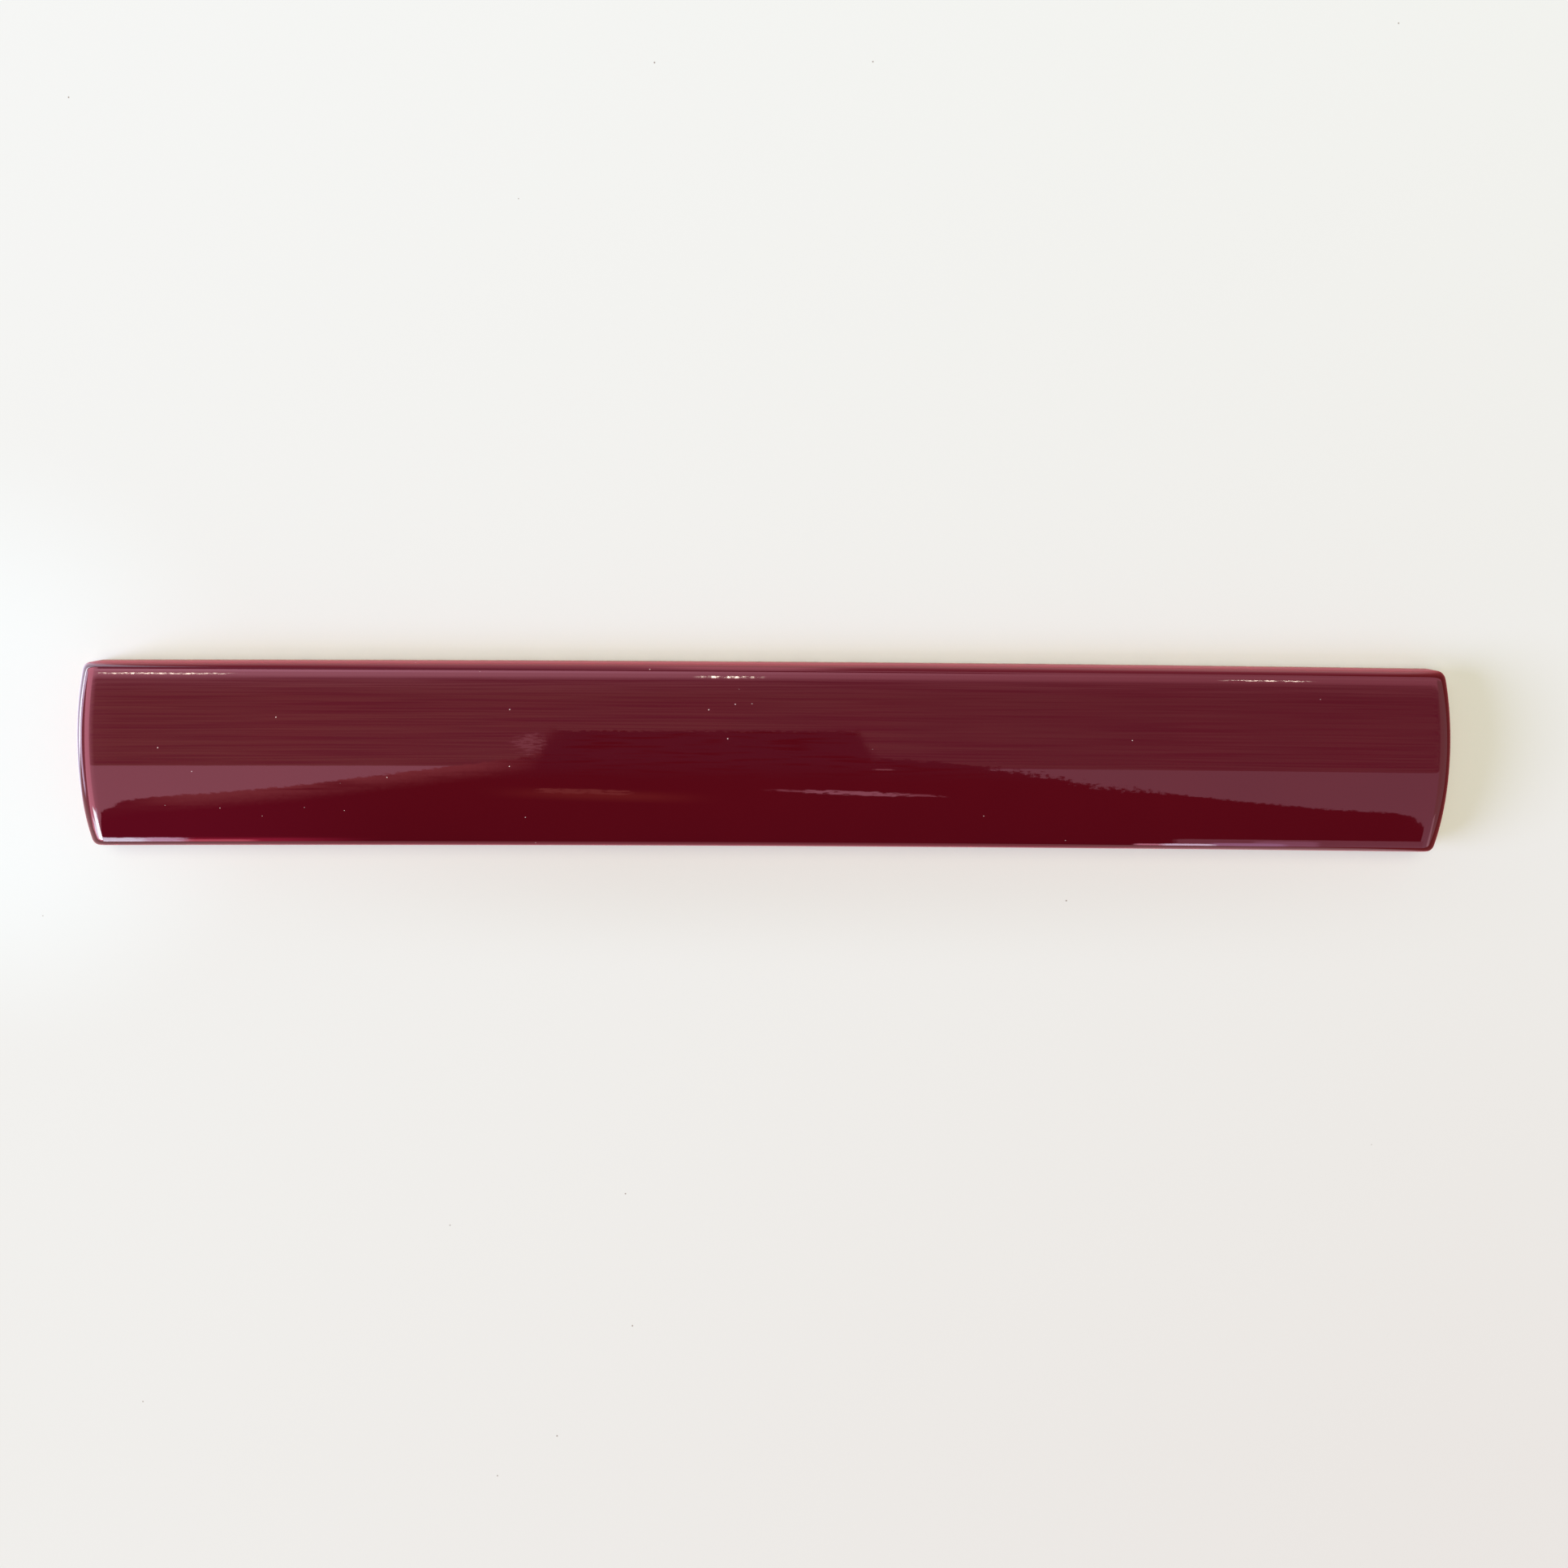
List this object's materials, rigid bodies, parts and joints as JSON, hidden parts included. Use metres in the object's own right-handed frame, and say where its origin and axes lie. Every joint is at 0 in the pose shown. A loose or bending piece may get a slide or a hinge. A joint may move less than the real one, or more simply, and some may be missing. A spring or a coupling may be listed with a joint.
{
  "type": "glazed border tile",
  "caption": "Narrow rectangular wall border tile with a domed, rounded-edge face in deep burgundy gloss glaze and a flat, grooved bare back.",
  "frame": {"origin": "centre of the flat back, in the plane that the tile rests on", "axes": "+X along the length, +Y across the width, +Z out of the domed face"},
  "size_m": [0.15, 0.0204, 0.008],
  "materials": {
    "burgundy_glaze": "deep burgundy transparent gloss glaze over a fired clay body, bare on the back"
  },
  "bodies": {
    "root": {"border_tile": "burgundy_glaze"}
  },
  "joints": []
}
